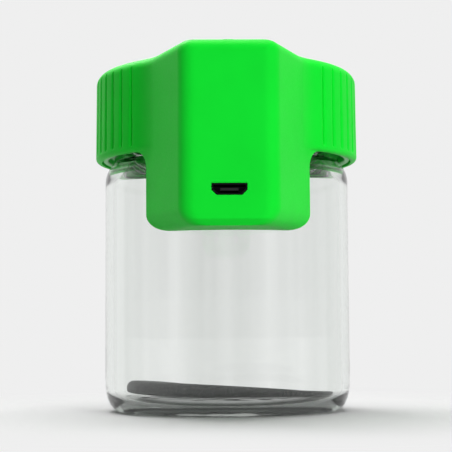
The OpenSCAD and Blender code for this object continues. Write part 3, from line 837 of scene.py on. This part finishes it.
def cover_pocket():
    """Seat of the pod's curved cover, let into its side walls."""
    wall_left, play, steps = 0.9, 0.1, 24
    side = SPACE_D + WALL - wall_left

    def sweep(r):
        a = math.degrees(math.atan2(*on_side(side, math.sqrt(r * r - side * side), SPACE_SPLAY)))
        return [polar(r, a - 2 * a * i / steps - 90) for i in range(steps + 1)]

    outline = sweep(COVER_R + play) + sweep(SPACE_BACK)[::-1]
    return lofted([(LEDGE_Z, outline), (RIM_Z, outline)])


class BUGJAR_OT_lid(bpy.types.Operator):
    """Moulded lid: the grooved ring, the hanging pod blended into it, and its bosses, posts and ribs"""

    bl_idname = "bugjar.lid"
    bl_label = "Lid Shell"

    def execute(self, context):
        s = context.scene.bug_lid
        past = 1
        corner = [(USB_W, USB_H), (USB_W, USB_SLANT - USB_H), (USB_W - USB_SLANT, -USB_H)]
        mouth = [(-x, y) for x, y in corner] + corner[::-1]
        deep = WALL + past
        port = lofted([(0, mouth), (deep + past, mouth)])
        cutters = [
            tube(RIM_Z - past, ROOF_Z, CAP_ROOM),
            tube(ROOF_Z - past, TOP_Z + past, SEAT_R),
            lofted(hollow_levels()),
            cover_pocket(),
            block(GATE_LOW, GATE_HIGH),
            moved(tube(ROOF_Z - past, TOP_Z + past, BUTTON_HOLE, steps=64), at(0, -BUTTON_Y)),
            moved(port, at(0, deep - FRONT_D, USB_Z) @ around(90, "X")),
        ]
        parts = [carved(lofted(shell_levels(s.grooves, s.depth / MM)), cutters)]
        well = [(WELL_R, WELL_Z), (WELL_R, ROOT_Z), (SEAT_R, ROOT_Z)]
        well += [(SEAT_R, SEAT_Z), (LENS_R, SEAT_Z), (LENS_R, WELL_Z)]
        parts.append(turned(well, True))
        for k in range(6):
            post = tube(CAP_Z, ROOT_Z, POST_R, edge=0.2, steps=32)
            parts.append(moved(post, around(60 * k) @ at(POST_RING)))
        for k in range(4):
            peg = tube(PEG_Z, ROOT_Z, PEG_R, edge=0.1, steps=24)
            parts.append(moved(peg, around(90 * k) @ at(PEG_RING)))
        for side in (-1, 1):
            x = side * RIB_X
            parts.append(block((x - RIB_HALF, RIB_FRONT, RIB_LOW), (x + RIB_HALF, RIB_BACK, RIB_HIGH), 0.15))
            boss = [(BOSS_R, BOSS_LOW), (BOSS_R, BOSS_Z), (SCREW_R, BOSS_Z)]
            boss += [(SCREW_R, BOSS_FLOOR), (0, BOSS_FLOOR), (0, BOSS_LOW)]
            parts.append(moved(turned(boss, True, 32), at(side * BOSS_X, BOSS_Y)))
            stub = [(BOSS_R, 0), (BOSS_R, STUB_H), (0, STUB_H), (0, STUB_HOLE)]
            stub += [(SCREW_R, STUB_HOLE), (SCREW_R, 0)]
            lying = around(side * STUB_TURN) @ at(*STUB_PLACE) @ around(90, "X")
            parts.append(moved(turned(stub, True, 32), lying))
        # ABS, injection moulded in a spark-eroded tool: vivid, even and satin
        satin = moulded_plastic("abs_moulded_satin", s.colour, 0.5, gloss=0.16)
        piece("lid_moulding", joined(*parts), "lid", "lid_shell", satin, corner=28, even=True)
        return {"FINISHED"}


class BUGJAR_OT_magnifier(bpy.types.Operator):
    """Domed magnifier lens and the bezel that holds it"""

    bl_idname = "bugjar.magnifier"
    bl_label = "Magnifier"

    def execute(self, context):
        s = context.scene.bug_lid
        rim, low, edge = SEAT_R - SEAT_GAP, SEAT_Z + SEAT_GAP, 0.3
        dome = [LENS_R - LENS_R * i / 24 for i in range(25)]
        dome = [(r, DOME_Z - DOME_R + math.sqrt(DOME_R**2 - r * r)) for r in dome]
        profile = [(0, low)] + arc(rim - edge, low + edge, edge, -90, 0, 4) + [(rim, DOME_LOW)] + dome
        # Acrylic, moulded and polished: clear, with a bright dome
        clear = clear_solid("acrylic_moulded_lens", 1.49, 30, 0.01)
        piece("lens_dome", turned(profile), "magnifier", "magnifier_lens", clear)
        bezel = [(BEZEL_R, TOP_Z)] + arc(BEZEL_R - BEZEL_EDGE, BEZEL_Z - BEZEL_EDGE, BEZEL_EDGE, 0, 90, 6)
        bezel += arc(BEZEL_HOLE + BEZEL_LIP, BEZEL_Z - BEZEL_LIP, BEZEL_LIP, 90, 180, 4)
        bezel += [(BEZEL_HOLE, DOME_LOW), (rim, DOME_LOW), (rim, TOP_Z)]
        # ABS, moulded in a polished tool: the same green, glossier
        glossy = moulded_plastic("abs_moulded_gloss", s.trim_colour, 0.24, 0.6, 0.004)
        piece("lens_bezel", turned(bezel, True), "magnifier", "lens_ring", glossy)
        dish = [(0, 0.05), (1.6, 0.04), (3.0, 0.01)]
        cap = [(r, BUTTON_Z - down) for r, down in dish]
        cap += arc(BUTTON_R - BUTTON_EDGE, BUTTON_Z - BUTTON_EDGE, BUTTON_EDGE, 90, 0, 5)
        cap += [(BUTTON_R, FLANGE_Z), (FLANGE_R, FLANGE_Z), (FLANGE_R, FLANGE_LOW)]
        cap += [(STEM_R, FLANGE_LOW), (STEM_R, STEM_Z), (0, STEM_Z)]
        button = moved(turned(cap, steps=96), at(0, -BUTTON_Y))
        piece("button_cap", button, "button", "power_button", glossy)
        return {"FINISHED"}


class BUGJAR_OT_insides(bpy.types.Operator):
    """Finishes of the electronics, the pod's cover and the screws, and the battery's foam pad"""

    bl_idname = "bugjar.insides"
    bl_label = "Insides"

    def execute(self, context):
        s = context.scene.bug_lid
        low, high = (Vector(c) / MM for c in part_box("battery_pad"))
        # Polyethylene foam tape, slit: pale and soft
        tape = cut_foam("polyethylene_foam_tape", paint("#D8D8D2"), 0.3 * MM, 0.03)
        pad = piece("battery_foam", block(low, high, 0.2), "lid", "battery_pad", tape)
        green = solder_masked("fr4_green_mask", paint("#0B4A22"), paint("#13662F"))
        # LCP, moulded: hard, black and slightly shiny
        black = moulded_plastic("lcp_moulded_black", paint("#121214"), 0.42, 0.3, 0.006)
        # Tin-plated steel, stamped
        steel = plated_metal("tin_plated_steel_stamped", paint("#B9BBBE"), 0.24)
        finishes = {
            "light_board": solder_masked("fr4_white_mask", paint("#ECECE8"), paint("#DADAD2")),
            # LED in a white housing: a cloudy phosphor gel
            "leds": moulded_plastic("led_phosphor_gel", paint("#F2DC7A"), 0.3, 0.3, 0.01),
            "switch_plunger": black,
            "switch_body": moulded_plastic("nylon_moulded_grey", paint("#2C2C30"), 0.4, 0.3, 0.008),
            "switch_board": green,
            "charge_board": green,
            # Epoxy, transfer moulded: matt black with a fine pebble
            "charge_chip": moulded_plastic("epoxy_moulded_chip", paint("#161616"), 0.6, 0.2, 0.012),
            # Steel, stamped and black nickel plated
            "usb_shell": plated_metal("black_nickel_plated_steel", paint("#26262A"), 0.4),
            "usb_tongue": black,
            # Aluminium laminate, vacuum-sealed: silver, softly wrinkled
            "battery": plated_metal("aluminium_laminate_pouch", paint("#C4C6CA"), 0.32, (1.5, 1.5, 3.0)),
            "battery_leads": paired_leads("pvc_insulation_battery", paint("#141414"), paint("#B01818")),
            "light_leads": paired_leads("pvc_insulation_light", paint("#E6E6E2"), paint("#B01818")),
            "pod_cover": moulded_plastic("abs_moulded_cover", s.colour, 0.46),
            "cover_screws": steel,
            "board_screws": steel,
        }
        for node, finish in finishes.items():
            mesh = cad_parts[node].data
            mesh.materials.clear()
            mesh.materials.append(finish)
        return {"FINISHED"}


# The camera's place and turn, in metres and degrees
CAMERA_PLACE, CAMERA_TURN = (-0.00494, -0.35397, 0.021), (94.56, 0.35, -0.74)
# The lamps: degrees from the front towards +X, height, distance and size in metres, power in watts, and
# whether reflections and the glass show them
LAMPS = {
    "overhead": (170, 0.78, 0.1, 0.55, 0.5, 4.9, False),
    "rim": (-145, 0.6, 0.42, 0.35, 0.35, 2.4, True),
    "key": (32, 0.14, 0.75, 0.35, 0.3, 3.9, False),
    "right_strip": (53, 0.31, 0.7, 0.006, 0.3, 0.08, True),
    "left_strip": (-47, 0.25, 0.7, 0.008, 0.5, 0.012, True),
}
LAMPS_LOOK_AT = Vector((0, 0, 0.05))


def grey(level):
    """A linear grey."""
    return (level, level, level, 1)


def softbox(name, azimuth, height, distance, width, tall, power, mirrored):
    """A rectangular area light that looks at the jar."""
    data = bpy.data.lights.new(name, "AREA")
    data.shape, data.size, data.size_y = "RECTANGLE", width, tall
    data.energy = power
    lamp = bpy.data.objects.new(name, data)
    a = math.radians(azimuth)
    lamp.location = (math.sin(a) * distance, -math.cos(a) * distance, height)
    lamp.rotation_mode = "QUATERNION"
    lamp.rotation_quaternion = (lamp.location - LAMPS_LOOK_AT).to_track_quat("Z", "Y")
    lamp.visible_glossy = lamp.visible_transmission = mirrored
    bpy.context.scene.collection.objects.link(lamp)


def seamless_paper(pale):
    """Seamless paper: matt where the jar stands, evenly pale further out, and, seen through the glass, a
    painted glow under the foot with a painted shadow ring where it stands.
    """
    near, away, foot_r, fibre = 45 * MM, 120 * MM, 50 * MM, 0.8 * MM
    material, tree, here = blank("seamless_paper")
    flat = add(tree, "VectorMath", {0: here, 1: (1, 1, 0)}, operation="MULTIPLY")
    reach = add(tree, "VectorMath", {0: flat}, operation="LENGTH").outputs["Value"]
    far = add(
        tree, "MapRange", {"Value": reach, "From Min": near, "From Max": away},
        interpolation_type="SMOOTHSTEP",
    )
    _, bump = grained(tree, here, fibre, 2, 0.1, 0.02 * MM)
    paper = add(tree, "BsdfDiffuse", {"Color": grey(0.64), "Normal": bump})
    # It throws less light up at the jar than it shows
    dull = add(tree, "BsdfDiffuse", {"Color": grey(0.3)})
    glow = add(tree, "Emission", {"Color": pale, "Strength": 1.0})
    path = add(tree, "LightPath")
    # Through the glass it glows paler, painted light for what the foot pipes down, with a painted shadow on
    # the ring that the foot stands on
    share = add(tree, "MapRange", {"Value": reach, "From Min": 0, "From Max": foot_r})
    painted_light_and_shadow = add(tree, "ValToRGB", {"Fac": share})
    stops = painted_light_and_shadow.color_ramp.elements
    stops[0].position, stops[0].color = 0.38, grey(0.6)
    stops[1].position, stops[1].color = 0.7, grey(0.6)
    for position in (0.48, 0.6):
        stops.new(position).color = grey(0.04)
    paler = add(tree, "Math", {0: painted_light_and_shadow, 1: far}, operation="MAXIMUM")
    through = add(tree, "Mix", {0: path.outputs["Is Transmission Ray"], 2: far, 3: paler})
    shown = add(tree, "MixShader", {0: through, 1: paper, 2: glow})
    mix = add(tree, "MixShader", {0: path.outputs["Is Diffuse Ray"], 1: shown, 2: dull})
    add(tree, "OutputMaterial", {"Surface": mix})
    return material


def studio_room(pale, fill):
    """The room: pale behind the jar, greyer on the side of the photographer, as reflections show it."""
    world = bpy.data.worlds.new("room")
    world.use_nodes = True
    tree = world.node_tree
    tree.nodes.clear()
    aim = add(tree, "TexCoord").outputs["Generated"]
    parts = add(tree, "SeparateXYZ", {"Vector": aim})
    behind = add(
        tree, "MapRange", {"Value": parts.outputs["Y"], "From Min": -0.15, "From Max": 0.55},
        interpolation_type="SMOOTHSTEP",
    )
    level = add(tree, "VectorMath", {0: aim, 1: (1, 1, 0.05)}, operation="MULTIPLY")
    bands = add(tree, "TexNoise", {"Vector": level, "Scale": 3.5, "Detail": 1})
    path = add(tree, "LightPath")
    room = add(tree, "Background", {"Color": grey(1), "Strength": fill})
    back = add(tree, "Background", {"Color": pale, "Strength": 1.0})
    looks = []
    # On the photographer's side, what is mirrored is dim, and what shows through the glass is hazy
    for low, high in ((0.02, 0.45), (0.5, 0.95)):
        strength = add(
            tree, "MapRange",
            {"Value": bands, "From Min": 0.35, "From Max": 0.65, "To Min": low, "To Max": high},
        )
        front = add(tree, "Background", {"Color": pale, "Strength": strength})
        looks.append(add(tree, "MixShader", {0: behind, 1: front, 2: back}))
    for ray, look in zip(("Is Glossy Ray", "Is Transmission Ray", "Is Camera Ray"), (*looks, back)):
        room = add(tree, "MixShader", {0: path.outputs[ray], 1: room, 2: look})
    add(tree, "OutputWorld", {"Surface": room})
    return world


class BUGJAR_OT_stage(bpy.types.Operator):
    """Pale seamless floor and room, soft lights, and the camera at the product's viewing angle"""

    bl_idname = "bugjar.stage"
    bl_label = "Studio"

    def execute(self, context):
        s = context.scene.bug_studio
        pale = tuple(s.backdrop)
        bm = bmesh.new()
        bmesh.ops.create_circle(bm, cap_ends=True, cap_tris=False, segments=64, radius=6)
        mesh = bpy.data.meshes.new("floor")
        bm.to_mesh(mesh)
        bm.free()
        floor = bpy.data.objects.new("floor", mesh)
        context.scene.collection.objects.link(floor)
        mesh.materials.append(seamless_paper(pale))
        context.scene.world = studio_room(pale, s.fill)

        for name, values in LAMPS.items():
            softbox(name, *values)
        data = bpy.data.cameras.new("camera")
        data.lens, data.sensor_width = s.lens, 36
        data.clip_start, data.clip_end = 0.01, 20
        camera = bpy.data.objects.new("camera", data)
        camera.location = CAMERA_PLACE
        camera.rotation_euler = [math.radians(turn) for turn in CAMERA_TURN]
        context.scene.collection.objects.link(camera)
        context.scene.camera = camera
        context.scene.view_settings.view_transform = "Standard"
        return {"FINISHED"}


PIECES = (
    BUGJAR_OT_glass,
    BUGJAR_OT_mat,
    BUGJAR_OT_cap,
    BUGJAR_OT_lid,
    BUGJAR_OT_magnifier,
    BUGJAR_OT_insides,
    BUGJAR_OT_stage,
)


class VIEW3D_PT_bug_jar(bpy.types.Panel):
    """Lists the jar's pieces and their settings"""

    bl_idname = "VIEW3D_PT_bug_jar"
    bl_label = "Bug Catcher Jar"
    bl_space_type = "VIEW_3D"
    bl_region_type = "UI"
    bl_category = "Bug Jar"

    def draw(self, context):
        for group in SETTINGS:
            for name in group.__annotations__:
                self.layout.prop(getattr(context.scene, SETTINGS[group]), name)
        for kind in PIECES:
            self.layout.operator(kind.bl_idname)


SETTINGS = {
    GlassSettings: "bug_glass",
    MatSettings: "bug_mat",
    LidSettings: "bug_lid",
    StudioSettings: "bug_studio",
}


def register():
    """Registers the settings, the operators and the panel."""
    for kind in (*SETTINGS, *PIECES, VIEW3D_PT_bug_jar):
        bpy.utils.register_class(kind)
    for kind, name in SETTINGS.items():
        setattr(bpy.types.Scene, name, PointerProperty(type=kind))


def unregister():
    """Takes them out again."""
    for name in SETTINGS.values():
        delattr(bpy.types.Scene, name)
    for kind in reversed((*SETTINGS, *PIECES, VIEW3D_PT_bug_jar)):
        bpy.utils.unregister_class(kind)


def main():
    """Builds every piece and the studio."""
    register()
    for kind in PIECES:
        group, name = kind.bl_idname.split(".")
        getattr(getattr(bpy.ops, group), name)()


if __name__ == "__main__":
    main()
